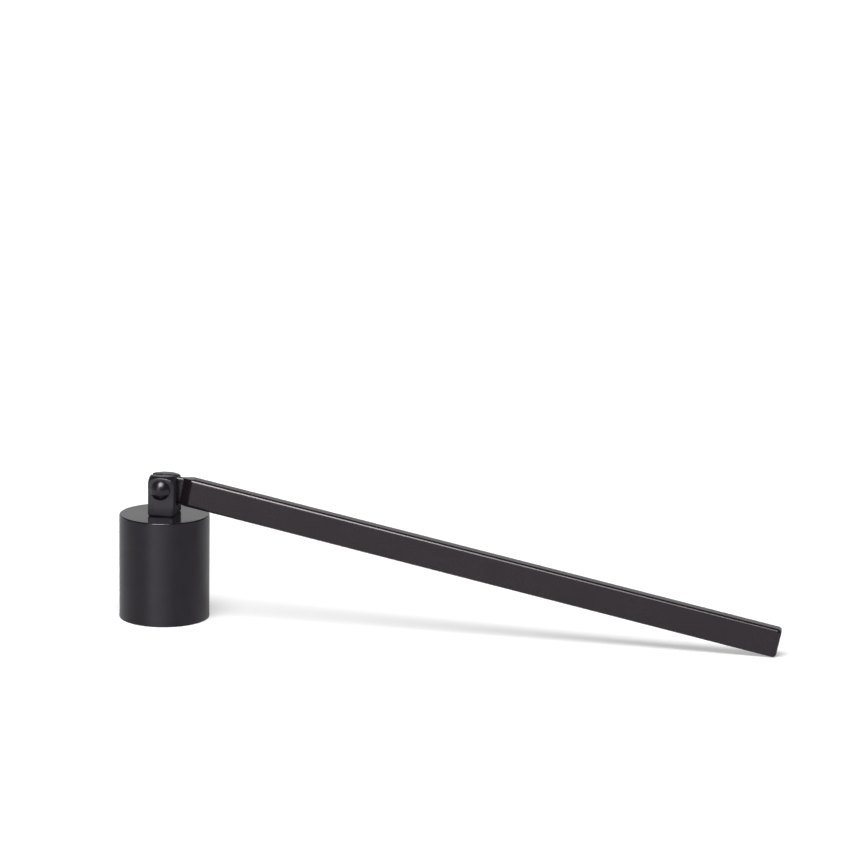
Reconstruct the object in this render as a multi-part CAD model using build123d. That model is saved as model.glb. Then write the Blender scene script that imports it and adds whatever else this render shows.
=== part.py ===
"""Candle snuffer: a straight-sided bell hung in a pivot fork at the end of a flat bar handle.

Frame: origin at the middle of the bell's mouth, on the floor. +Z is up, the handle runs toward +X
and the pivot lies along Y. The bell stands on its rim and the far end of the handle rests on the floor.
"""
import os
from math import acos, asin, atan2, degrees, hypot

from build123d import *

os.makedirs("parts", exist_ok=True)

# Bell: a turned cup, open end down
bell_diameter = 28.4
bell_height = 33.3
bell_wall = 1.2
bell_top = 1.6
bell_inner_slope = 3.0
bell_top_edge = 0.35
bell_rim_edge = 0.25

# Yoke: a square block with a turned crown and a slot for the handle's tang
yoke_width = 8.3
yoke_depth = 9.9
yoke_height = 12.6
yoke_floor = 2.8
crown_diameter = 12.7
crown_radius = 2.7
yoke_foot_edge = 0.6
yoke_side_edge = 0.35
slot_root_fillet = 0.5

# Pivot rivet with a domed head on a short straight side at each end
pivot_above_bell = 8.55
rivet_diameter = 3.0
rivet_head_diameter = 6.2
rivet_head_side = 0.9
rivet_head_edge = 0.3
rivet_dome_height = 1.5
rivet_fit_clearance = 0.02

# Handle: a flat bar with rounded edges, stepped down to a tang that turns in the slot
bar_height = 9.1
bar_thickness = 5.0
bar_edge = 1.05
bar_corner = 1.2
handle_reach = 197.7
bar_axis_offset = 0.5
tang_thickness = 1.9
tang_height = 8.4
tang_axis_offset = 0.3
tang_edge = 0.7
tang_reach = 5.8
shoulder_length = 3.2
tang_overlap = 1.0
tang_side_clearance = 0.15
pivot_running_clearance = 0.05

# Screw that holds the yoke on the bell, driven from inside
screw_diameter = 3.0
screw_head_diameter = 5.5
screw_head_height = 1.9
screw_head_edge = 0.9
screw_hole_clearance = 0.15
screw_thread_clearance = 0.02
screw_tip_gap = 0.4
recess_span = 2.8
recess_width = 0.7
recess_depth = 1.1

# Places worked out from the sizes above
bell_radius = bell_diameter / 2
bell_bore_radius = bell_radius - bell_wall
bell_ceiling = bell_height - bell_top
slot_width = tang_thickness + 2 * tang_side_clearance
pivot_height = bell_height + pivot_above_bell
rivet_radius = rivet_diameter / 2
screw_radius = screw_diameter / 2
tang_end_radius = tang_height / 2 - tang_axis_offset
tang_top = tang_height / 2 + tang_axis_offset
shoulder_end = tang_reach + shoulder_length

# The handle tips down until its rounded lower corner rests on the floor
corner_below = bar_height / 2 - bar_axis_offset - bar_corner
corner_along = handle_reach - bar_corner
rest_tilt = degrees(
    asin((pivot_height - bar_corner) / hypot(corner_along, corner_below)) - atan2(corner_below, corner_along)
)
UP_FROM_BASE = (Align.CENTER, Align.CENTER, Align.MIN)
DOWN_FROM_TOP = (Align.CENTER, Align.CENTER, Align.MAX)


def make_bell():
    """A cup of even wall, its closed end up, with a hole in the middle for the screw."""
    outside = Cylinder(bell_radius, bell_height, align=UP_FROM_BASE)
    outside = chamfer(outside.edges().group_by(Axis.Z)[-1], bell_top_edge)
    outside = chamfer(outside.edges().group_by(Axis.Z)[0], bell_rim_edge)
    inside = Cylinder(bell_bore_radius, bell_ceiling, align=UP_FROM_BASE)
    inside = chamfer(inside.edges().group_by(Axis.Z)[-1], bell_inner_slope)
    hole = Cylinder(screw_radius + screw_hole_clearance, bell_height + 1, align=UP_FROM_BASE)
    return outside - inside - hole


def make_yoke():
    """A block whose top is turned round, which leaves an arch on each side, cut by the slot."""
    block = Box(yoke_width, yoke_depth, yoke_height, align=UP_FROM_BASE)
    block = fillet(block.edges().filter_by(Axis.Z), yoke_side_edge)
    block = fillet(block.edges().group_by(Axis.Z)[0], yoke_foot_edge)
    crown = Cylinder(crown_diameter / 2, yoke_height, align=UP_FROM_BASE)
    crown = fillet(crown.edges().group_by(Axis.Z)[-1], crown_radius)
    slot = Pos(0, 0, yoke_floor) * Box(2 * yoke_width, slot_width, yoke_height, align=UP_FROM_BASE)
    roots = slot.edges().group_by(Axis.Z)[0].filter_by(Axis.X)
    slot = fillet(roots, slot_root_fillet)
    pivot_hole = Pos(0, 0, pivot_above_bell) * Rot(90, 0, 0) * Cylinder(
        rivet_radius + rivet_fit_clearance, 2 * yoke_depth
    )
    thread_hole = Cylinder(screw_radius + screw_thread_clearance, 2 * yoke_floor)
    return Pos(0, 0, bell_height) * ((block & crown) - slot - pivot_hole - thread_hole)


def make_rivet():
    """A shank between the outer faces of the yoke, with a head at each end: a straight side under a dome."""
    seat = yoke_depth / 2
    head_radius = rivet_head_diameter / 2
    ball_radius = (head_radius**2 + rivet_dome_height**2) / (2 * rivet_dome_height)
    ball = Pos(0, 0, rivet_dome_height - ball_radius) * Sphere(ball_radius)
    dome = ball & Cylinder(2 * ball_radius, 2 * ball_radius, align=UP_FROM_BASE)
    head = dome + Cylinder(head_radius, rivet_head_side, align=DOWN_FROM_TOP)
    rim = head.edges().filter_by(GeomType.CIRCLE).filter_by_position(Axis.Z, -0.01, 0.01)
    head = Pos(0, 0, seat + rivet_head_side) * fillet(rim, rivet_head_edge)
    rivet = Cylinder(rivet_radius, yoke_depth) + head + Rot(180, 0, 0) * head
    return Pos(0, 0, pivot_height) * Rot(90, 0, 0) * rivet


def make_tang():
    """The flat tongue that turns in the slot: round end about the pivot, softened rim."""
    rise = (tang_top - tang_end_radius) / tang_reach
    root = tang_reach + tang_overlap
    root_top = tang_top + rise * tang_overlap
    touch = degrees(atan2(root_top, root) + acos(tang_end_radius / hypot(root, root_top)))
    tip = CenterArc((0, 0), tang_end_radius, touch, 270 - touch)
    sides = Polyline(tip @ 1, (root, -tang_end_radius), (root, root_top), tip @ 0)
    tang = extrude(Plane.XZ * make_face([tip, sides]), tang_thickness / 2, both=True)
    rim = tang.edges().filter_by(lambda e: abs(e.center().Y) > tang_thickness / 4)
    rim = rim.filter_by(lambda e: e.center().X < root - 0.01)
    return fillet(rim, tang_edge)


def make_handle():
    """Bar, shoulder and tang in one piece, drawn level with the pivot at the origin, then tipped down.

    Four slanted cuts, one on each side of the rounded bar, bring it down to the tang.
    """
    start = tang_reach - tang_overlap
    bar = Pos(start, 0, bar_axis_offset) * Box(
        handle_reach - start, bar_thickness, bar_height, align=(Align.MIN, Align.CENTER, Align.CENTER)
    )
    bar = fillet(bar.edges().filter_by(Axis.Y).group_by(Axis.X)[-1], bar_corner)
    rim = bar.edges().filter_by(lambda e: abs(e.center().Y) > bar_thickness / 4)
    rim = rim.filter_by(lambda e: e.center().X > start + 0.01)
    bar = fillet(rim, bar_edge)
    for half_bar, half_tang, around in (
        (bar_thickness / 2, tang_thickness / 2, 90),
        (bar_thickness / 2, tang_thickness / 2, -90),
        (bar_height / 2, tang_top - bar_axis_offset, 0),
        (bar_height / 2, tang_end_radius + bar_axis_offset, 180),
    ):
        slope = (half_bar - half_tang) / shoulder_length
        wedge = make_face(
            Polyline(
                (start - tang_overlap, half_tang - slope * 2 * tang_overlap),
                (shoulder_end + tang_overlap, half_bar + slope * tang_overlap),
                (start - tang_overlap, half_bar + slope * tang_overlap),
                close=True,
            )
        )
        cutter = extrude(Plane.XZ * wedge, bar_height, both=True)
        bar -= Pos(0, 0, bar_axis_offset) * Rot(around, 0, 0) * cutter
    bore = Rot(90, 0, 0) * Cylinder(rivet_radius + pivot_running_clearance, 2 * bar_thickness)
    level = bar + make_tang() - bore
    return Pos(0, 0, pivot_height) * Rot(0, rest_tilt, 0) * level


def make_screw():
    """A pan-head screw with a cross recess, its head against the inside of the bell's top."""
    head = Pos(0, 0, bell_ceiling) * Cylinder(screw_head_diameter / 2, screw_head_height, align=DOWN_FROM_TOP)
    head = fillet(head.edges().group_by(Axis.Z)[0], screw_head_edge)
    shank_length = bell_top + yoke_floor - screw_tip_gap
    shank = Pos(0, 0, bell_ceiling) * Cylinder(screw_radius, shank_length, align=UP_FROM_BASE)
    face = Pos(0, 0, bell_ceiling - screw_head_height)
    bar_one = Box(recess_span, recess_width, 2 * recess_depth)
    bar_two = Box(recess_width, recess_span, 2 * recess_depth)
    return head + shank - face * (bar_one + bar_two)


for name, solid in {
    "bell": make_bell(),
    "yoke": make_yoke(),
    "pivot_rivet": make_rivet(),
    "handle": make_handle(),
    "yoke_screw": make_screw(),
}.items():
    export_step(solid, f"parts/{name}.step")
    box = solid.bounding_box()
    print(name, len(solid.solids()), round(solid.volume, 2), box.min, box.max)
print("rest tilt", round(rest_tilt, 4), "pivot height", round(pivot_height, 3))
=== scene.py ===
"""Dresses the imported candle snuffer: its finishes, its studio stage and the camera, laid out as an add-on."""
from math import cos, radians, sin

import bmesh
import bpy
import numpy as np
from bpy.props import FloatProperty, FloatVectorProperty, IntProperty, PointerProperty
from mathutils import Matrix, Vector


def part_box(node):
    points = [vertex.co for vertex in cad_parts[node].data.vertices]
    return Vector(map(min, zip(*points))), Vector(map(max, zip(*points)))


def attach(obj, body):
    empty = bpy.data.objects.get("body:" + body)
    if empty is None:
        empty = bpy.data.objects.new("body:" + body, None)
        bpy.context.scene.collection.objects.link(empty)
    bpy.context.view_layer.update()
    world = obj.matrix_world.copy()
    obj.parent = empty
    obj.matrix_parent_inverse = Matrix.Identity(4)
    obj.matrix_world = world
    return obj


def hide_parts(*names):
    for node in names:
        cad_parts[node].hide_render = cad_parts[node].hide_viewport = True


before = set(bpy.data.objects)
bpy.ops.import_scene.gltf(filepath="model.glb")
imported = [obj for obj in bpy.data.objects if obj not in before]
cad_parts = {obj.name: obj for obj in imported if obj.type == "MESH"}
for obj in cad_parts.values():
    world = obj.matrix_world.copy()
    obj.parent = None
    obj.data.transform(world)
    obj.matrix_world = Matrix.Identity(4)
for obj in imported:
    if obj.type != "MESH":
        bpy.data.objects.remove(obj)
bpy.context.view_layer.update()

bl_info = {
    "name": "Candle snuffer",
    "version": (1, 0, 0),
    "blender": (4, 5, 0),
    "location": "3D View > Sidebar > Snuffer",
    "description": "Finishes a hinged candle snuffer and sets up its studio stage",
    "category": "Object",
}

# Name of the material slot of the black coating
BLACK = "satin_black_metal"

# Side of the picture and focal length of its camera, in pixels
PICTURE_SIDE = 860
FOCAL_PIXELS = 3245.666

# Points along the rounded edges, the foot and the dome of the turned profiles
EDGE_POINTS = 9
FOOT_POINTS = 7
DOME_POINTS = 28

# Distance in metres and angle below which a copied mesh is merged and its flat faces are joined
MERGE_DISTANCE = 0.000002
FLAT_ANGLE = radians(0.4)

# The coating's noise: patches and haze in waves per metre, and the part of the patch noise that is used
PATCH_RATE = 140.0
HAZE_RATE = 420.0
PATCH_SPAN = (0.35, 0.70)

# Length in metres of the step away from the axis at which the lines of a turned piece are read
RING_STEP = 0.0006

# Part of a full turn that lays the stretched gloss along the bell instead of round it
QUARTER_TURN = 0.25

# Shared keywords of the properties, and values that the node trees share
COLOUR = {"subtype": "COLOR", "size": 3, "min": 0.0, "max": 1.0}
SHARE = {"subtype": "FACTOR", "min": 0.0, "max": 1.0}
WHITE = (1.0, 1.0, 1.0, 1.0)
LEVEL = (1.0, 1.0, 0.0)
SMOOTH = "SMOOTHSTEP"


class SNUFFER_PG_bell(bpy.types.PropertyGroup):
    """Sizes of the bell that its box does not give."""

    wall: FloatProperty(name="Wall", description="Thickness of the bell's wall", unit="LENGTH", default=0.0012)
    top: FloatProperty(name="Top", description="Thickness of the bell's closed end", unit="LENGTH", default=0.0016)
    inner_slope: FloatProperty(
        name="Inner slope", description="Size of the slope between bore and ceiling", unit="LENGTH", default=0.003
    )
    inner_round: FloatProperty(
        name="Inner round", description="Radius at both ends of that slope", unit="LENGTH", default=0.0008
    )
    screw_hole: FloatProperty(
        name="Screw hole", description="Radius of the hole for the screw", unit="LENGTH", default=0.00165
    )
    top_edge: FloatProperty(
        name="Top edge", description="Radius that breaks the top's outer edge", unit="LENGTH", default=0.00045
    )
    rim_edge: FloatProperty(
        name="Rim edge", description="Radius that breaks the edges of the rim", unit="LENGTH", default=0.00025
    )
    turns: IntProperty(name="Steps round", description="Faces round the bell", min=24, max=720, default=288)


class SNUFFER_PG_rivet(bpy.types.PropertyGroup):
    """Sizes of the pivot rivet that its box does not give."""

    shank: FloatProperty(name="Shank", description="Radius of the rivet's shank", unit="LENGTH", default=0.0015)
    head_side: FloatProperty(
        name="Head side", description="Height of the straight side of each head", unit="LENGTH", default=0.0009
    )
    head_edge: FloatProperty(
        name="Head edge", description="Radius between the side and the dome", unit="LENGTH", default=0.0003
    )
    dome_height: FloatProperty(
        name="Dome height", description="Height of the dome on each head", unit="LENGTH", default=0.0015
    )
    seat_edge: FloatProperty(
        name="Seat edge", description="Radius at the foot of each head", unit="LENGTH", default=0.00004
    )
    turns: IntProperty(name="Steps round", description="Faces round the rivet", min=24, max=360, default=144)


class SNUFFER_PG_edges(bpy.types.PropertyGroup):
    """How far the sharp edges of the milled pieces are broken."""

    yoke: FloatProperty(name="Yoke edges", description="Width of the broken edges", unit="LENGTH", default=0.00014)
    screw: FloatProperty(name="Screw edges", description="Width of the broken edges", unit="LENGTH", default=0.00010)
    steps: IntProperty(name="Edge steps", description="Faces across each broken edge", min=1, max=6, default=3)
    corner: FloatProperty(
        name="Yoke corners", description="Width of the yoke's corners, rounded already", unit="LENGTH", default=0.0005
    )
    weld: FloatProperty(
        name="Weld", description="Points nearer than this are joined", unit="LENGTH", default=0.000004
    )
    angle: FloatProperty(
        name="Edge angle",
        description="Edges that turn by more than this are broken",
        subtype="ANGLE",
        default=radians(24),
    )


class SNUFFER_PG_coating(bpy.types.PropertyGroup):
    """The satin black coating on every visible piece."""

    colour: FloatVectorProperty(
        name="Head colour",
        description="Colour of the black coating on the bell, the yoke and the rivet",
        default=(0.0093, 0.0073, 0.0112),
        **COLOUR,
    )
    handle_colour: FloatVectorProperty(
        name="Handle colour",
        description="Colour of the black coating on the handle",
        default=(0.0124, 0.0085, 0.0107),
        **COLOUR,
    )
    tint: FloatVectorProperty(
        name="Head gloss",
        description="Tint of the gloss on the bell, the yoke and the rivet",
        default=(0.965, 0.93, 1.0),
        **COLOUR,
    )
    handle_tint: FloatVectorProperty(
        name="Handle gloss", description="Tint of the gloss on the handle", default=(1.0, 0.925, 0.98), **COLOUR
    )
    pale_gain: FloatProperty(
        name="Pale patches",
        description="How much paler the coating is where it lies thinner",
        min=1.0,
        max=2.0,
        default=1.36,
    )
    ior: FloatProperty(
        name="Index", description="Index of refraction of the coating", min=1.0, max=3.0, default=1.485
    )
    yoke_ior: FloatProperty(
        name="Yoke index", description="Index of refraction on the yoke", min=1.0, max=3.0, default=1.665
    )
    bell_ior: FloatProperty(
        name="Bell index", description="Index of refraction on the bell", min=1.0, max=3.0, default=1.449
    )
    wall_roughness: FloatProperty(
        name="Bell wall", description="Roughness of the turned wall", default=0.40, **SHARE
    )
    wall_stretch: FloatProperty(
        name="Wall stretch",
        description="How far the turned lines draw the wall's gloss out along the bell",
        default=0.75,
        **SHARE,
    )
    top_roughness: FloatProperty(
        name="Bell top", description="Roughness of the bell's smooth top", default=0.15, **SHARE
    )
    yoke_roughness: FloatProperty(
        name="Yoke", description="Roughness of the yoke's faces", default=0.30, **SHARE
    )
    sawn_roughness: FloatProperty(
        name="Yoke sides", description="Roughness of the yoke's sawn sides", default=0.80, **SHARE
    )
    sawn_band: FloatVectorProperty(
        name="Sawn band",
        description="Depths inside the yoke's sides between which the finish turns from smooth to dull",
        unit="LENGTH",
        size=2,
        default=(0.00008, 0.00002),
    )
    rivet_roughness: FloatProperty(
        name="Rivet", description="Roughness of the rivet", default=0.25, **SHARE
    )
    handle_roughness: FloatProperty(
        name="Handle", description="Roughness of the handle", default=0.20, **SHARE
    )
    roughness_spread: FloatProperty(
        name="Roughness spread",
        description="How far the roughness wanders either side of its mean",
        subtype="FACTOR",
        min=0.0,
        max=0.5,
        default=0.05,
    )
    peel_size: FloatProperty(
        name="Peel size", description="Width of the fine ripples in the coating", unit="LENGTH", default=0.0007
    )
    peel_depth: FloatProperty(
        name="Peel depth", description="Depth of those ripples", unit="LENGTH", default=0.0000012
    )
    line_size: FloatProperty(
        name="Line spacing",
        description="Spacing of the fine drawn lines under the coating",
        unit="LENGTH",
        default=0.00022,
    )
    line_depth: FloatProperty(
        name="Line depth", description="Depth of the drawn lines", unit="LENGTH", default=0.0000005
    )
    bar_line_rate: FloatProperty(
        name="Bar lines",
        description="How fast the lines change along the bar, as a share of across it",
        default=0.02,
        **SHARE,
    )
    yoke_line_rate: FloatProperty(
        name="Yoke lines",
        description="How fast the lines change up the yoke, as a share of across it",
        default=0.2,
        **SHARE,
    )
    bar_tilt: FloatProperty(
        name="Bar tilt",
        description="Slope of the bar as it lies, along which its lines run",
        subtype="ANGLE",
        default=radians(11.11),
    )


class SNUFFER_PG_screw(bpy.types.PropertyGroup):
    """The plated screw inside the bell."""

    colour: FloatVectorProperty(
        name="Plating colour", description="Colour of the screw's plating", default=(0.46, 0.45, 0.43), **COLOUR
    )
    roughness: FloatProperty(
        name="Roughness", description="Mean roughness of the plating", default=0.32, **SHARE
    )


class SNUFFER_PG_key(bpy.types.PropertyGroup):
    """The soft lamp that lights the object and the floor, and casts the shadow."""

    azimuth: FloatProperty(
        name="Azimuth", description="Angle round the object, from the front", subtype="ANGLE", default=radians(-2)
    )
    elevation: FloatProperty(
        name="Elevation", description="Angle above the floor", subtype="ANGLE", default=radians(69)
    )
    width: FloatProperty(name="Width", description="Width of the lamp", unit="LENGTH", default=0.78)
    length: FloatProperty(name="Height", description="Height of the lamp", unit="LENGTH", default=0.80)
    power: FloatProperty(name="Power", description="Power of the lamp", unit="POWER", default=16.4)


class SNUFFER_PG_glare(bpy.types.PropertyGroup):
    """The whole lit face that only the gloss mirrors."""

    azimuth: FloatProperty(
        name="Azimuth", description="Angle round the object, from the front", subtype="ANGLE", default=radians(-2)
    )
    elevation: FloatProperty(
        name="Elevation", description="Angle above the floor", subtype="ANGLE", default=radians(53)
    )
    width: FloatProperty(name="Width", description="Width of the lit face", unit="LENGTH", default=0.92)
    length: FloatProperty(name="Height", description="Height of the lit face", unit="LENGTH", default=0.95)
    power: FloatProperty(name="Power", description="Power of the lit face", unit="POWER", default=14.6)


class SNUFFER_PG_core(bpy.types.PropertyGroup):
    """The brighter middle of the face that only the gloss mirrors."""

    azimuth: FloatProperty(
        name="Azimuth", description="Angle round the object, from the front", subtype="ANGLE", default=radians(-10)
    )
    elevation: FloatProperty(
        name="Elevation", description="Angle above the floor", subtype="ANGLE", default=radians(53)
    )
    width: FloatProperty(name="Width", description="Width of the bright middle", unit="LENGTH", default=0.50)
    length: FloatProperty(name="Height", description="Height of the bright middle", unit="LENGTH", default=0.95)
    power: FloatProperty(name="Power", description="Power of the bright middle", unit="POWER", default=11.0)


class SNUFFER_PG_stage(bpy.types.PropertyGroup):
    """Floor, lamps, the room that the gloss mirrors, and the camera."""

    azimuth: FloatProperty(
        name="Camera azimuth",
        description="Angle of the camera round the object, from the front",
        subtype="ANGLE",
        default=radians(10.143),
    )
    elevation: FloatProperty(
        name="Camera elevation",
        description="Angle of the camera above the floor",
        subtype="ANGLE",
        default=radians(11.927),
    )
    roll: FloatProperty(
        name="Camera roll",
        description="Tilt of the camera about its line of sight",
        subtype="ANGLE",
        default=radians(1.036),
    )
    distance: FloatProperty(
        name="Camera distance", description="Distance from the camera to its target", unit="LENGTH", default=1.0
    )
    target: FloatVectorProperty(
        name="Camera target",
        description="Point at the middle of the picture",
        subtype="XYZ",
        unit="LENGTH",
        size=3,
        default=(0.084331, 0.0, 0.064747),
    )
    focal: FloatProperty(
        name="Focal length", description="Focal length in widths of the picture", default=FOCAL_PIXELS / PICTURE_SIDE
    )
    floor_colour: FloatVectorProperty(
        name="Floor colour", description="Colour of the floor", default=(0.70, 0.70, 0.70), **COLOUR
    )
    floor_size: FloatProperty(
        name="Floor size", description="Half the width of the floor", unit="LENGTH", default=6.0
    )
    floor_lift: FloatProperty(
        name="Floor lift", description="White added to the floor seen near the object", default=0.40, **SHARE
    )
    mirrored_lift: FloatProperty(
        name="Mirrored lift", description="Share of that white where the floor is mirrored", default=0.15, **SHARE
    )
    floor_middle: FloatVectorProperty(
        name="Floor middle",
        description="Point on the floor from which the added white grows",
        subtype="XYZ",
        unit="LENGTH",
        size=3,
        default=(0.09, 0.0, 0.0),
    )
    floor_fade: FloatVectorProperty(
        name="Floor fade",
        description="Distances from that point between which the added white grows to full",
        unit="LENGTH",
        size=2,
        default=(0.12, 0.40),
    )
    key: PointerProperty(type=SNUFFER_PG_key, name="Key", description="Lamp that lights the object and the floor")
    glare: PointerProperty(type=SNUFFER_PG_glare, name="Glare", description="Lit face that the gloss mirrors")
    core: PointerProperty(type=SNUFFER_PG_core, name="Core", description="Brightest part of that face")
    lamp_distance: FloatProperty(
        name="Lamp distance", description="Distance from the lamps' target to each lamp", unit="LENGTH", default=1.25
    )
    lamp_target: FloatVectorProperty(
        name="Lamp target",
        description="Point that the lamps face",
        subtype="XYZ",
        unit="LENGTH",
        size=3,
        default=(0.03, 0.0, 0.03),
    )
    ambient: FloatProperty(
        name="Ambient", description="Even light from all round", min=0.0, max=2.0, default=0.20
    )
    room: FloatProperty(
        name="Room", description="Brightness of the dark room above the walls", min=0.0, max=1.0, default=0.01
    )
    backdrop: FloatProperty(
        name="Walls", description="Brightness of the white walls that the gloss mirrors", min=0.0, max=2.0, default=0.68
    )
    behind_span: FloatVectorProperty(
        name="Back wall",
        description="Y of a direction between which the back wall grows from none to full",
        size=2,
        default=(-0.10, 0.25),
    )
    beside_span: FloatVectorProperty(
        name="Side wall", description="X of a direction between which the side wall grows", size=2, default=(0.45, 0.0)
    )
    beside_level: FloatVectorProperty(
        name="Side wall shares", description="Shares of the wall at those two ends", size=2, default=(0.2, 0.5)
    )
    wall_fade: FloatVectorProperty(
        name="Wall fade", description="Z of a direction between which the walls end", size=2, default=(0.28, 0.50)
    )
    panel: FloatProperty(
        name="Panel", description="Brightness of the pale panel that the bell mirrors", min=0.0, max=5.0, default=1.7
    )
    panel_azimuth: FloatProperty(
        name="Panel azimuth", description="Where the pale panel stands", subtype="ANGLE", default=radians(-18)
    )
    panel_half: FloatProperty(
        name="Panel half width", description="Half the angle that the panel spans", subtype="ANGLE", default=radians(15)
    )
    panel_fade: FloatVectorProperty(
        name="Panel fade", description="Z of a direction between which the panel ends", size=2, default=(0.45, 0.75)
    )


class SNUFFER_PG_settings(bpy.types.PropertyGroup):
    """All settings of the snuffer."""

    bell: PointerProperty(type=SNUFFER_PG_bell, name="Bell", description="Sizes of the bell")
    rivet: PointerProperty(type=SNUFFER_PG_rivet, name="Rivet", description="Sizes of the pivot rivet")
    edges: PointerProperty(type=SNUFFER_PG_edges, name="Edges", description="Broken edges of the milled pieces")
    coating: PointerProperty(type=SNUFFER_PG_coating, name="Coating", description="The black coating")
    screw: PointerProperty(type=SNUFFER_PG_screw, name="Screw", description="The screw inside the bell")
    stage: PointerProperty(type=SNUFFER_PG_stage, name="Stage", description="Floor, lamps, mirrored room and camera")


def settings():
    """The snuffer's settings in the open scene."""
    return bpy.context.scene.snuffer


def rounded_path(corners, radii, count, closed):
    """Points and outward normals along a profile whose corners are rounded.

    At a corner P with unit directions a to the last corner and b to the next, which enclose the angle w, the arc
    of radius r touches both sides at r / tan(w / 2) from P. Its centre lies on the bisector at r / sin(w / 2), and its
    points are the centre plus r times the unit vector that swings evenly from the first touch to the second.
    The solid lies to the left of the path. An open path also keeps its two end points.
    """
    corners = np.asarray(corners, float)
    radii = np.asarray(radii, float)[:, None]
    last, after = np.roll(corners, 1, axis=0), np.roll(corners, -1, axis=0)
    bends = corners
    if not closed:
        last, after, bends, radii = last[1:-1], after[1:-1], corners[1:-1], radii[1:-1]
    a = last - bends
    b = after - bends
    a /= np.linalg.norm(a, axis=1, keepdims=True)
    b /= np.linalg.norm(b, axis=1, keepdims=True)
    half = np.arccos(np.clip((a * b).sum(1), -1.0, 1.0))[:, None] / 2
    bisector = (a + b) / np.linalg.norm(a + b, axis=1, keepdims=True)
    centre = bends + bisector * radii / np.sin(half)
    first = (bends + a * radii / np.tan(half) - centre) / radii
    second = (bends + b * radii / np.tan(half) - centre) / radii
    swing = (np.pi - 2 * half)[:, None, :]
    share = np.linspace(0.0, 1.0, count)[None, :, None]
    unit = np.sin((1 - share) * swing) * first[:, None] + np.sin(share * swing) * second[:, None]
    unit /= np.sin(swing)
    points = centre[:, None] + radii[:, None] * unit
    side = np.sign(b[:, 0] * a[:, 1] - b[:, 1] * a[:, 0])
    normals = unit * side[:, None, None]
    points, normals = points.reshape(-1, 2), normals.reshape(-1, 2)
    if not closed:
        points = np.vstack((corners[:1], points, corners[-1:]))
        normals = np.vstack((normals[:1], normals, normals[-1:]))
    return points, normals


def join_frame(piece, body, node):
    """Puts a piece into the scene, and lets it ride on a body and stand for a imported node."""
    bpy.context.scene.collection.objects.link(piece)
    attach(piece, body)
    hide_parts(node)
    return piece


def new_piece(name, points, faces, normals, body, node, slot):
    """A mesh object at the origin with its own normals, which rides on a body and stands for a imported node."""
    mesh = bpy.data.meshes.new(name)
    mesh.from_pydata(points.tolist(), [], faces)
    mesh.polygons.foreach_set("use_smooth", np.ones(len(mesh.polygons), bool))
    mesh.normals_split_custom_set_from_vertices(normals.tolist())
    mesh.update()
    return join_frame(bpy.data.objects.new(name, mesh), body, node)


def carried_round(pairs, turns):
    """Points (r cos t, r sin t, h) of radius and height pairs carried round the Z axis, one row for each angle t."""
    angle = np.linspace(0.0, 2 * np.pi, turns, endpoint=False)[:, None]
    r, h = pairs[None, :, 0], pairs[None, :, 1]
    return np.stack((r * np.cos(angle), r * np.sin(angle), h + 0 * angle), axis=2).reshape(-1, 3)


def turned_ring(profile, normals, turns):
    """Surface of a closed profile carried round the Z axis, closed in both directions."""
    steps = len(profile)
    here = np.arange(turns * steps).reshape(turns, steps)
    beyond = np.roll(here, -1, axis=0)
    quads = np.stack((here, beyond, np.roll(beyond, -1, axis=1), np.roll(here, -1, axis=1)), axis=2)
    return carried_round(profile, turns), quads.reshape(-1, 4).tolist(), carried_round(normals, turns)


def turned_spindle(profile, normals, turns):
    """Surface of a profile from pole to pole carried round the Z axis, with one point at each pole."""
    steps = len(profile) - 2
    ends = np.array([[0.0, 0.0, profile[0, 1]], [0.0, 0.0, profile[-1, 1]]])
    ways = np.array([[0.0, 0.0, -1.0], [0.0, 0.0, 1.0]])
    points = np.vstack((carried_round(profile[1:-1], turns), ends))
    directions = np.vstack((carried_round(normals[1:-1], turns), ways))
    here = np.arange(turns * steps).reshape(turns, steps)
    beyond = np.roll(here, -1, axis=0)
    quads = np.stack((here[:, :-1], beyond[:, :-1], beyond[:, 1:], here[:, 1:]), axis=2).reshape(-1, 4)
    low, high = turns * steps, turns * steps + 1
    below = np.stack((beyond[:, 0], here[:, 0], np.full(turns, low)), axis=1)
    above = np.stack((here[:, -1], beyond[:, -1], np.full(turns, high)), axis=1)
    return points, quads.tolist() + below.tolist() + above.tolist(), directions


def bell_surface(look):
    """The bell's wall, top and bore as one closed profile round the Z axis, every edge rounded."""
    low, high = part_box("bell")
    outer, height = high.x, high.z
    bore, ceiling = outer - look.wall, height - look.top
    corners_and_radii = (
        ((bore, low.z), look.rim_edge),
        ((outer, low.z), look.rim_edge),
        ((outer, height), look.top_edge),
        ((look.screw_hole, height), look.rim_edge / 2),
        ((look.screw_hole, ceiling), look.rim_edge / 2),
        ((bore - look.inner_slope, ceiling), look.inner_round),
        ((bore, ceiling - look.inner_slope), look.inner_round),
    )
    corners, radii = zip(*corners_and_radii)
    return turned_ring(*rounded_path(corners, radii, EDGE_POINTS, True), look.turns)


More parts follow.
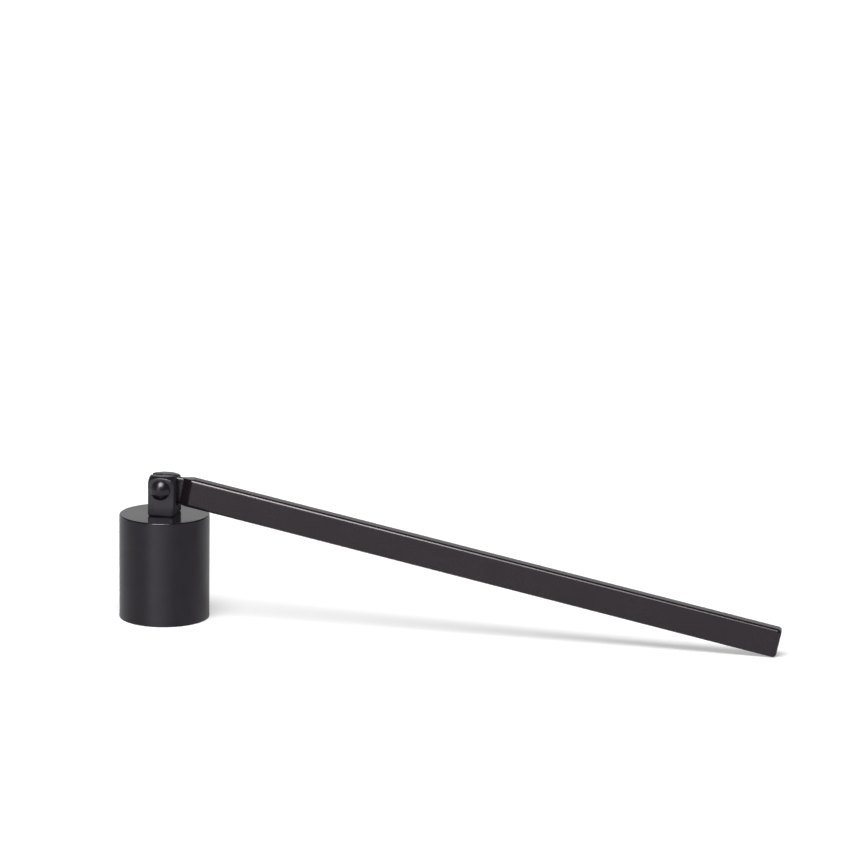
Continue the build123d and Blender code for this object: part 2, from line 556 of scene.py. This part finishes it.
def rivet_surface(look):
    """A shank between two heads, from pole to pole, laid along Y through the pivot.

    A dome of base radius c and height h is part of a ball of radius b = (c c + h h) / (2 h). An edge of radius e
    joins it to the straight side: the edge's centre lies c - e from the axis and b - e from the ball's centre, so
    the dome ends where the normal leans by w, with sin w = (c - e) / (b - e), and the edge carries on from w to 90
    degrees. The half that this gives is mirrored for the other head.
    """
    low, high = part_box("pivot_rivet")
    half = (high.y - low.y) / 2
    cap = (high.x - low.x) / 2
    edge = look.head_edge
    seat = half - look.dome_height - look.head_side
    ball = (cap**2 + look.dome_height**2) / (2 * look.dome_height)
    inner = cap - edge
    lean = np.arcsin(inner / (ball - edge))
    middle = half - ball
    edge_height = middle + (ball - edge) * np.cos(lean)
    on_dome = np.linspace(0.0, lean, DOME_POINTS)[1:]
    on_edge = np.linspace(lean, np.pi / 2, EDGE_POINTS)[1:]
    dome = np.column_stack((ball * np.sin(on_dome), middle + ball * np.cos(on_dome)))
    rim = np.column_stack((inner + edge * np.sin(on_edge), edge_height + edge * np.cos(on_edge)))
    swing = np.concatenate((on_dome, on_edge))
    foot_corners = ((cap, edge_height), (cap, seat), (look.shank, seat), (look.shank, 0.0))
    foot_radii = (0.0, look.seat_edge, look.seat_edge, 0.0)
    foot, foot_way = rounded_path(foot_corners, foot_radii, FOOT_POINTS, False)
    foot, foot_way = foot[1:-1], -foot_way[1:-1]
    upper = np.vstack(([[0.0, half]], dome, rim, foot))
    upper_way = np.vstack(([[0.0, 1.0]], np.column_stack((np.sin(swing), np.cos(swing))), foot_way))
    lower, lower_way = upper * (1, -1), upper_way * (1, -1)
    profile = np.vstack((lower, upper[::-1]))
    ways = np.vstack((lower_way, upper_way[::-1]))
    points, faces, normals = turned_spindle(profile, ways, look.turns)
    centre = np.array((low + high) / 2)
    laid = np.array([[1.0, 0.0, 0.0], [0.0, 0.0, 1.0], [0.0, -1.0, 0.0]])
    return points @ laid + centre, faces, normals @ laid


def broken_edges(node, name, body, width, corner=0.0):
    """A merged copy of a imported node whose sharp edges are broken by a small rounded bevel.

    Edges nearer than the corner's width to two upright sides of the node's box stay as they are, already rounded.
    """
    look = settings().edges
    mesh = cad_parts[node].data.copy()
    mesh.name = name
    work = bmesh.new()
    work.from_mesh(mesh)
    bmesh.ops.remove_doubles(work, verts=work.verts, dist=MERGE_DISTANCE)
    bmesh.ops.dissolve_limit(work, angle_limit=FLAT_ANGLE, verts=work.verts, edges=work.edges)
    low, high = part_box(node)
    middle, reach = (low + high) / 2, (high - low) / 2
    weight = work.edges.layers.float.new("bevel_weight_edge")
    for edge in work.edges:
        away = (edge.verts[0].co + edge.verts[1].co) / 2 - middle
        upright = abs(away.x) > reach.x - corner and abs(away.y) > reach.y - corner
        edge[weight] = float(edge.calc_face_angle(0.0) > look.angle and not upright)
    work.to_mesh(mesh)
    work.free()
    if "custom_normal" in mesh.attributes:
        mesh.attributes.remove(mesh.attributes["custom_normal"])
    mesh.polygons.foreach_set("use_smooth", np.ones(len(mesh.polygons), bool))
    piece = bpy.data.objects.new(name, mesh)
    bevel = piece.modifiers.new("broken edges", "BEVEL")
    bevel.width = width
    bevel.segments = look.steps
    bevel.limit_method = "WEIGHT"
    bevel.harden_normals = True
    bevel.miter_outer = "MITER_ARC"
    bevel.use_clamp_overlap = False
    piece.modifiers.new("closed corners", "WELD").merge_threshold = look.weld
    return join_frame(piece, body, node)


def empty_tree(owner):
    """The cleared node tree of a material or a world."""
    owner.use_nodes = True
    owner.node_tree.nodes.clear()
    return owner.node_tree


def add_node(tree, kind, place, **values):
    """A node at a place on the sheet, with attributes and unlinked inputs set by name."""
    node = tree.nodes.new(kind)
    node.location = place
    for key, value in values.items():
        if key in node.inputs:
            node.inputs[key].default_value = value
        else:
            setattr(node, key, value)
    return node


def feed(tree, socket, value):
    """Links an input to another node's output, or sets it to a constant."""
    if isinstance(value, bpy.types.NodeSocket):
        tree.links.new(value, socket)
    else:
        socket.default_value = value


def add_math(tree, place, operation, *values):
    """The result of a Math node on outputs and numbers."""
    node = add_node(tree, "ShaderNodeMath", place, operation=operation)
    for socket, value in zip(node.inputs, values):
        feed(tree, socket, value)
    return node.outputs["Value"]


def add_vector(tree, place, operation, *values):
    """The result of a Vector Math node on outputs and vectors, which is a number for a length or a product."""
    node = add_node(tree, "ShaderNodeVectorMath", place, operation=operation)
    for socket, value in zip(node.inputs, values):
        feed(tree, socket, value)
    return node.outputs["Value" if operation in ("LENGTH", "DISTANCE", "DOT_PRODUCT") else "Vector"]


def add_mix(tree, place, kind, factor, first, second):
    """Two numbers, colours or vectors mixed by a factor."""
    node = add_node(tree, "ShaderNodeMix", place, data_type=kind)
    for label, value in (("Factor", factor), ("A", first), ("B", second)):
        feed(tree, node.inputs[label], value)
    return node.outputs["Result"]


def add_ramp(tree, place, value, span, ends=(0.0, 1.0), shape="LINEAR"):
    """A value that goes from one end to the other over a span, straight or smoothly."""
    node = add_node(tree, "ShaderNodeMapRange", place, interpolation_type=shape)
    for label, limit in zip(("From Min", "From Max", "To Min", "To Max"), (*span, *ends)):
        node.inputs[label].default_value = limit
    tree.links.new(value, node.inputs["Value"])
    return node.outputs["Result"]


def split_point(tree, place, point):
    """X, Y and Z of a point or a direction."""
    node = add_node(tree, "ShaderNodeSeparateXYZ", place)
    tree.links.new(point, node.inputs["Vector"])
    return node.outputs["X"], node.outputs["Y"], node.outputs["Z"]


def coating_group():
    """Fine ripples, drawn lines and slow patches of a sprayed coating, from a point in metres.

    Ripple and patches are noise at two widths. Lines are noise at the line point, which the mapping has stretched
    along the piece. On a turned piece they run round the Z axis: the line point becomes a short step along the
    direction away from the axis, with the height less the radius for its third part.
    """
    name = "Sprayed coating"
    if name in bpy.data.node_groups:
        return bpy.data.node_groups[name]
    group = bpy.data.node_groups.new(name, "ShaderNodeTree")
    for label, kind, default in (
        ("Point", "NodeSocketVector", None),
        ("Line Point", "NodeSocketVector", None),
        ("Colour", "NodeSocketColor", (0.01, 0.01, 0.01, 1.0)),
        ("Pale Colour", "NodeSocketColor", (0.015, 0.015, 0.015, 1.0)),
        ("Roughness", "NodeSocketFloat", 0.25),
        ("Spread", "NodeSocketFloat", 0.05),
        ("Peel Size", "NodeSocketFloat", 0.0007),
        ("Peel Depth", "NodeSocketFloat", 0.000001),
        ("Line Size", "NodeSocketFloat", 0.0002),
        ("Line Depth", "NodeSocketFloat", 0.000001),
        ("Turned", "NodeSocketFloat", 0.0),
    ):
        socket = group.interface.new_socket(label, in_out="INPUT", socket_type=kind)
        if default is not None:
            socket.default_value = default
    for label, kind in (("Colour", "NodeSocketColor"), ("Roughness", "NodeSocketFloat"), ("Height", "NodeSocketFloat")):
        group.interface.new_socket(label, in_out="OUTPUT", socket_type=kind)
    source = add_node(group, "NodeGroupInput", (-1800, 0)).outputs
    result = add_node(group, "NodeGroupOutput", (700, 0)).inputs
    link = group.links.new

    # Slow patches of a thinner, paler coating
    patch = add_node(group, "ShaderNodeTexNoise", (-600, 300), Scale=PATCH_RATE, Detail=3.0, Roughness=0.55)
    link(source["Point"], patch.inputs["Vector"])
    shade = add_ramp(group, (-300, 300), patch.outputs["Fac"], PATCH_SPAN)
    link(add_mix(group, (100, 300), "RGBA", shade, source["Colour"], source["Pale Colour"]), result["Colour"])

    # Roughness that wanders about its mean
    haze = add_node(group, "ShaderNodeTexNoise", (-600, 0), Scale=HAZE_RATE, Detail=4.0, Roughness=0.6)
    link(source["Point"], haze.inputs["Vector"])
    centred = add_math(group, (-300, 0), "SUBTRACT", haze.outputs["Fac"], 0.5)
    wander = add_math(group, (-100, 0), "MULTIPLY_ADD", centred, source["Spread"], source["Roughness"])
    link(wander, result["Roughness"])

    # Line point of a turned piece
    around = add_vector(group, (-1500, -700), "MULTIPLY", source["Line Point"], LEVEL)
    radius = add_vector(group, (-1300, -700), "LENGTH", around)
    away = add_vector(group, (-1300, -850), "NORMALIZE", around)
    short = add_vector(group, (-1100, -850), "MULTIPLY", away, (RING_STEP, RING_STEP, RING_STEP))
    height = split_point(group, (-1300, -1000), source["Line Point"])[2]
    rise = add_node(group, "ShaderNodeCombineXYZ", (-900, -1000))
    link(add_math(group, (-1100, -1000), "SUBTRACT", height, radius), rise.inputs["Z"])
    ring = add_vector(group, (-700, -900), "ADD", short, rise.outputs["Vector"])
    line_point = add_mix(group, (-500, -800), "VECTOR", source["Turned"], source["Line Point"], ring)

    def ripple(point, size, depth, place):
        """Noise one size wide, times its depth."""
        across, up = place
        noise = add_node(group, "ShaderNodeTexNoise", (across + 200, up), Detail=1.5, Roughness=0.5)
        link(point, noise.inputs["Vector"])
        link(add_math(group, place, "DIVIDE", 1.0, size), noise.inputs["Scale"])
        return add_math(group, (across + 400, up), "MULTIPLY", noise.outputs["Fac"], depth)

    peel = ripple(source["Point"], source["Peel Size"], source["Peel Depth"], (-800, -300))
    lines = ripple(line_point, source["Line Size"], source["Line Depth"], (-300, -550))
    link(add_math(group, (300, -400), "ADD", peel, lines), result["Height"])
    return group


def coated_material(
    name, colour, tint, roughness, ior, turned=0.0, place=(0.0, 0.0, 0.0), turn=(0.0, 0.0, 0.0), stretch=(1.0, 1.0, 1.0)
):
    """The black coating over metal, whose fine lines follow a Mapping placed, turned and stretched for that piece."""
    look = settings().coating
    material = bpy.data.materials.new(name)
    tree = empty_tree(material)
    link = tree.links.new
    out = add_node(tree, "ShaderNodeOutputMaterial", (600, 0))
    shader = add_node(tree, "ShaderNodeBsdfPrincipled", (300, 0), IOR=ior)
    shader.inputs["Specular Tint"].default_value = (*tint, 1.0)
    point = add_node(tree, "ShaderNodeTexCoord", (-900, 0)).outputs["Object"]
    mapping = add_node(
        tree, "ShaderNodeMapping", (-650, -200), vector_type="POINT", Location=place, Rotation=turn, Scale=stretch
    )
    link(point, mapping.inputs["Vector"])
    coat = add_node(tree, "ShaderNodeGroup", (-350, 0), node_tree=coating_group())
    for label, value in (
        ("Colour", (*colour, 1.0)),
        ("Pale Colour", (*[min(1.0, c * look.pale_gain) for c in colour], 1.0)),
        ("Roughness", roughness),
        ("Spread", look.roughness_spread),
        ("Peel Size", look.peel_size),
        ("Peel Depth", look.peel_depth),
        ("Line Size", look.line_size),
        ("Line Depth", look.line_depth),
        ("Turned", turned),
    ):
        coat.inputs[label].default_value = value
    link(point, coat.inputs["Point"])
    link(mapping.outputs["Vector"], coat.inputs["Line Point"])
    bump = add_node(tree, "ShaderNodeBump", (50, -250), Strength=1.0, Distance=1.0)
    link(coat.outputs["Height"], bump.inputs["Height"])
    link(coat.outputs["Colour"], shader.inputs["Base Color"])
    link(coat.outputs["Roughness"], shader.inputs["Roughness"])
    link(bump.outputs["Normal"], shader.inputs["Normal"])
    link(shader.outputs["BSDF"], out.inputs["Surface"])
    return material


def part_of(material, kind):
    """The one node of a kind in a material."""
    return next(node for node in material.node_tree.nodes if node.bl_idname == kind)


def place_on(material):
    """X, Y and Z of a point on the piece, for a material."""
    point = part_of(material, "ShaderNodeTexCoord").outputs["Object"]
    return split_point(material.node_tree, (-1100, 300), point)


def ramp_roughness(material, distance, span, ends):
    """Lets the coating's mean roughness go from one end to the other over a span on the piece."""
    tree = material.node_tree
    ramp = add_ramp(tree, (-650, 300), distance, span, ends)
    tree.links.new(ramp, part_of(material, "ShaderNodeGroup").inputs["Roughness"])


def bell_material():
    """The coating on the bell: a turned wall whose gloss is drawn out along the bell, and a smoother top.

    The finish changes just below the rounded top edge, over half that edge's radius.
    """
    look = settings().coating
    material = coated_material("bell_coating", look.colour, look.tint, look.wall_roughness, look.bell_ior, turned=1.0)
    tree = material.node_tree
    shader = part_of(material, "ShaderNodeBsdfPrincipled")
    shader.inputs["Anisotropic"].default_value = look.wall_stretch
    shader.inputs["Anisotropic Rotation"].default_value = QUARTER_TURN
    round_axis = add_node(tree, "ShaderNodeTangent", (50, -500), direction_type="RADIAL", axis="Z")
    tree.links.new(round_axis.outputs["Tangent"], shader.inputs["Tangent"])
    edge = settings().bell.top_edge
    wall_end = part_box("bell")[1].z - edge
    height = place_on(material)[2]
    ramp_roughness(material, height, (wall_end - edge / 2, wall_end), (look.wall_roughness, look.top_roughness))
    return material


def yoke_material():
    """The coating on the yoke: smooth faces front and back, and dull sawn sides, told apart by their distance in X."""
    look = settings().coating
    material = coated_material(
        "yoke_coating",
        look.colour,
        look.tint,
        look.yoke_roughness,
        look.yoke_ior,
        stretch=(1.0, 1.0, look.yoke_line_rate),
    )
    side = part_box("yoke")[1].x
    aside = add_math(material.node_tree, (-900, 300), "ABSOLUTE", place_on(material)[0])
    band = [side - depth for depth in look.sawn_band]
    ramp_roughness(material, aside, band, (look.yoke_roughness, look.sawn_roughness))
    return material


def plated_material():
    """Bright plating on the screw, with the same ripple group and a metal shader."""
    look = settings().screw
    material = coated_material(
        "screw_plating", look.colour, WHITE[:3], look.roughness, settings().coating.ior, turned=1.0
    )
    part_of(material, "ShaderNodeBsdfPrincipled").inputs["Metallic"].default_value = 1.0
    return material


def dress(piece, material):
    """Gives a piece its finish in place of the one it has."""
    piece.data.materials.clear()
    piece.data.materials.append(material)


class SNUFFER_OT_bell(bpy.types.Operator):
    """Finish the bell"""

    bl_idname = "snuffer.bell"
    bl_label = "Bell"

    def execute(self, context):
        piece = new_piece("bell_shell", *bell_surface(settings().bell), "head", "bell", BLACK)
        dress(piece, bell_material())
        return {"FINISHED"}


class SNUFFER_OT_yoke(bpy.types.Operator):
    """Finish the yoke on top of the bell"""

    bl_idname = "snuffer.yoke"
    bl_label = "Yoke"

    def execute(self, context):
        look = settings().edges
        piece = broken_edges("yoke", "yoke_fork", "head", look.yoke, look.corner)
        dress(piece, yoke_material())
        return {"FINISHED"}


class SNUFFER_OT_rivet(bpy.types.Operator):
    """Finish the pivot rivet"""

    bl_idname = "snuffer.rivet"
    bl_label = "Pivot rivet"

    def execute(self, context):
        look = settings().coating
        piece = new_piece("domed_rivet", *rivet_surface(settings().rivet), "head", "pivot_rivet", BLACK)
        middle = sum(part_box("pivot_rivet"), Vector()) / 2
        coating = coated_material(
            "rivet_coating",
            look.colour,
            look.tint,
            look.rivet_roughness,
            look.ior,
            turned=1.0,
            place=(0.0, middle.z, 0.0),
            turn=(radians(90), 0.0, 0.0),
        )
        dress(piece, coating)
        return {"FINISHED"}


class SNUFFER_OT_handle(bpy.types.Operator):
    """Finish the bar handle, with its fine lines along the bar"""

    bl_idname = "snuffer.handle"
    bl_label = "Handle"

    def execute(self, context):
        look = settings().coating
        coating = coated_material(
            "handle_coating",
            look.handle_colour,
            look.handle_tint,
            look.handle_roughness,
            look.ior,
            turn=(0.0, -look.bar_tilt, 0.0),
            stretch=(look.bar_line_rate, 1.0, 1.0),
        )
        dress(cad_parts["handle"], coating)
        return {"FINISHED"}


class SNUFFER_OT_screw(bpy.types.Operator):
    """Finish the screw inside the bell"""

    bl_idname = "snuffer.screw"
    bl_label = "Yoke screw"

    def execute(self, context):
        piece = broken_edges("yoke_screw", "pan_screw", "head", settings().edges.screw)
        dress(piece, plated_material())
        return {"FINISHED"}


def outward(azimuth, elevation):
    """Direction from the object toward an azimuth, counted from the front, and an elevation."""
    return Vector((sin(azimuth) * cos(elevation), -cos(azimuth) * cos(elevation), sin(elevation)))


def camera_axes(look):
    """Right, up and back of a camera at an azimuth and elevation, turned by its roll."""
    back = outward(look.azimuth, look.elevation)
    right = Vector((cos(look.azimuth), sin(look.azimuth), 0.0))
    up = back.cross(right)
    return right * cos(look.roll) + up * sin(look.roll), up * cos(look.roll) - right * sin(look.roll), back


def mirrored_rays(tree, place, path):
    """1 for a ray that a mirror or glass has sent on, and 0 for any other."""
    return add_math(tree, place, "MAXIMUM", path["Is Glossy Ray"], path["Is Transmission Ray"])


def floor_material(look):
    """A pale matt floor. Where the camera sees it, white is added, and more with distance, so that it clears to white.

    A mirror sees a share of that white.
    """
    material = bpy.data.materials.new("studio_floor")
    tree = empty_tree(material)
    link = tree.links.new
    out = add_node(tree, "ShaderNodeOutputMaterial", (600, 0))
    matt = add_node(tree, "ShaderNodeBsdfDiffuse", (0, 100), Color=(*look.floor_colour, 1.0))
    glow = add_node(tree, "ShaderNodeEmission", (0, -100), Color=WHITE)
    path = add_node(tree, "ShaderNodeLightPath", (-700, -100)).outputs
    mirrored = mirrored_rays(tree, (-450, -100), path)
    seen = add_math(tree, (-300, -100), "MULTIPLY_ADD", mirrored, look.mirrored_lift, path["Is Camera Ray"])
    point = add_node(tree, "ShaderNodeTexCoord", (-900, -350)).outputs["Object"]
    away = add_vector(tree, (-700, -350), "DISTANCE", point, look.floor_middle)
    clear = add_ramp(tree, (-450, -350), away, look.floor_fade, (look.floor_lift, 1.0), SMOOTH)
    link(add_math(tree, (-150, -100), "MULTIPLY", seen, clear), glow.inputs["Strength"])
    both = add_node(tree, "ShaderNodeAddShader", (300, 0))
    link(matt.outputs["BSDF"], both.inputs[0])
    link(glow.outputs["Emission"], both.inputs[1])
    link(both.outputs["Shader"], out.inputs["Surface"])
    return material


def studio_world(look):
    """White to the camera, and an even light on matt surfaces.

    The gloss mirrors low white walls behind and beside the object, a pale panel at the front left and a dark room
    above them.
    """
    world = bpy.data.worlds.new("studio")
    bpy.context.scene.world = world
    tree = empty_tree(world)
    link = tree.links.new
    path = add_node(tree, "ShaderNodeLightPath", (-600, 500)).outputs
    way = add_node(tree, "ShaderNodeTexCoord", (-900, 0)).outputs["Generated"]
    x, y, z = split_point(tree, (-700, 0), way)

    # Low white walls
    behind = add_ramp(tree, (-450, 100), y, look.behind_span, shape=SMOOTH)
    beside = add_ramp(tree, (-450, 350), x, look.beside_span, look.beside_level, SMOOTH)
    low = add_ramp(tree, (-450, -200), z, look.wall_fade, (1.0, 0.0), SMOOTH)
    around = add_math(tree, (-250, 200), "MAXIMUM", behind, beside)
    walls = add_math(tree, (-200, 0), "MULTIPLY", around, low)

    # Pale panel, counted by the angle from its middle
    level = add_vector(tree, (-800, -550), "NORMALIZE", add_vector(tree, (-900, -450), "MULTIPLY", way, LEVEL))
    facing = add_vector(tree, (-700, -450), "DOT_PRODUCT", level, outward(look.panel_azimuth, 0.0))
    near = add_ramp(tree, (-450, -450), facing, (cos(look.panel_half), 1.0), shape=SMOOTH)
    tall = add_ramp(tree, (-450, -700), z, look.panel_fade, (look.panel, 0.0), SMOOTH)
    panel = add_math(tree, (-200, -450), "MULTIPLY_ADD", near, tall, look.room)

    bright = add_math(tree, (0, 0), "MULTIPLY_ADD", walls, look.backdrop, panel)
    mirrored = mirrored_rays(tree, (-200, 400), path)
    gloss = add_mix(tree, (200, 150), "FLOAT", mirrored, look.ambient, bright)
    seen = add_mix(tree, (420, 150), "FLOAT", path["Is Camera Ray"], gloss, 1.0)
    sky = add_node(tree, "ShaderNodeBackground", (650, 0), Color=WHITE)
    out = add_node(tree, "ShaderNodeOutputWorld", (900, 0))
    link(seen, sky.inputs["Strength"])
    link(sky.outputs["Background"], out.inputs["Surface"])


def soft_lamp(name, look, target, distance):
    """An oval soft lamp that faces a target."""
    lamp = bpy.data.lights.new(name, "AREA")
    lamp.shape = "ELLIPSE"
    lamp.size = look.width
    lamp.size_y = look.length
    lamp.energy = look.power
    holder = bpy.data.objects.new(name, lamp)
    direction = outward(look.azimuth, look.elevation)
    holder.location = Vector(target) + direction * distance
    holder.rotation_euler = direction.to_track_quat("Z", "Y").to_euler()
    bpy.context.scene.collection.objects.link(holder)
    return holder


class SNUFFER_OT_stage(bpy.types.Operator):
    """Lay the floor, hang the lamps and place the camera"""

    bl_idname = "snuffer.stage"
    bl_label = "Stage"

    def execute(self, context):
        look = settings().stage
        scene = context.scene
        scene.view_settings.view_transform = "Standard"
        side = look.floor_size
        mesh = bpy.data.meshes.new("studio_floor")
        mesh.from_pydata([(-side, -side, 0), (side, -side, 0), (side, side, 0), (-side, side, 0)], [], [(0, 1, 2, 3)])
        mesh.materials.append(floor_material(look))
        floor = bpy.data.objects.new("studio_floor", mesh)
        scene.collection.objects.link(floor)
        studio_world(look)

        for name in ("key", "glare", "core"):
            holder = soft_lamp(f"{name}_lamp", getattr(look, name), look.lamp_target, look.lamp_distance)
            holder.visible_diffuse = name == "key"
            holder.visible_glossy = name != "key"

        lens = bpy.data.cameras.new("camera")
        lens.sensor_fit = "HORIZONTAL"
        lens.sensor_width = 36.0
        lens.lens = look.focal * lens.sensor_width
        lens.clip_start = 0.01
        lens.clip_end = 50.0
        camera = bpy.data.objects.new("camera", lens)
        right, up, back = camera_axes(look)
        place = Vector(look.target) + back * look.distance
        turn = Matrix((right, up, back)).transposed().to_4x4()
        camera.matrix_world = Matrix.Translation(place) @ turn
        scene.collection.objects.link(camera)
        scene.camera = camera
        return {"FINISHED"}


STEPS = (
    SNUFFER_OT_bell,
    SNUFFER_OT_yoke,
    SNUFFER_OT_rivet,
    SNUFFER_OT_handle,
    SNUFFER_OT_screw,
    SNUFFER_OT_stage,
)


class SNUFFER_PT_panel(bpy.types.Panel):
    """Lists the snuffer's pieces and its stage"""

    bl_idname = "SNUFFER_PT_panel"
    bl_label = "Candle snuffer"
    bl_space_type = "VIEW_3D"
    bl_region_type = "UI"
    bl_category = "Snuffer"

    def draw(self, context):
        for step in STEPS:
            self.layout.operator(step.bl_idname)


CLASSES = (
    SNUFFER_PG_bell,
    SNUFFER_PG_rivet,
    SNUFFER_PG_edges,
    SNUFFER_PG_coating,
    SNUFFER_PG_screw,
    SNUFFER_PG_key,
    SNUFFER_PG_glare,
    SNUFFER_PG_core,
    SNUFFER_PG_stage,
    SNUFFER_PG_settings,
    *STEPS,
    SNUFFER_PT_panel,
)


def register():
    """Registers the classes and hangs the settings on the scene."""
    for item in CLASSES:
        bpy.utils.register_class(item)
    bpy.types.Scene.snuffer = PointerProperty(type=SNUFFER_PG_settings, name="Snuffer", description="Candle snuffer")


def unregister():
    """Takes the settings and the classes away again."""
    del bpy.types.Scene.snuffer
    for item in reversed(CLASSES):
        bpy.utils.unregister_class(item)


def main():
    """Makes every piece and the stage."""
    register()
    bpy.ops.snuffer.bell()
    bpy.ops.snuffer.yoke()
    bpy.ops.snuffer.rivet()
    bpy.ops.snuffer.handle()
    bpy.ops.snuffer.screw()
    bpy.ops.snuffer.stage()


if __name__ == "__main__":
    main()
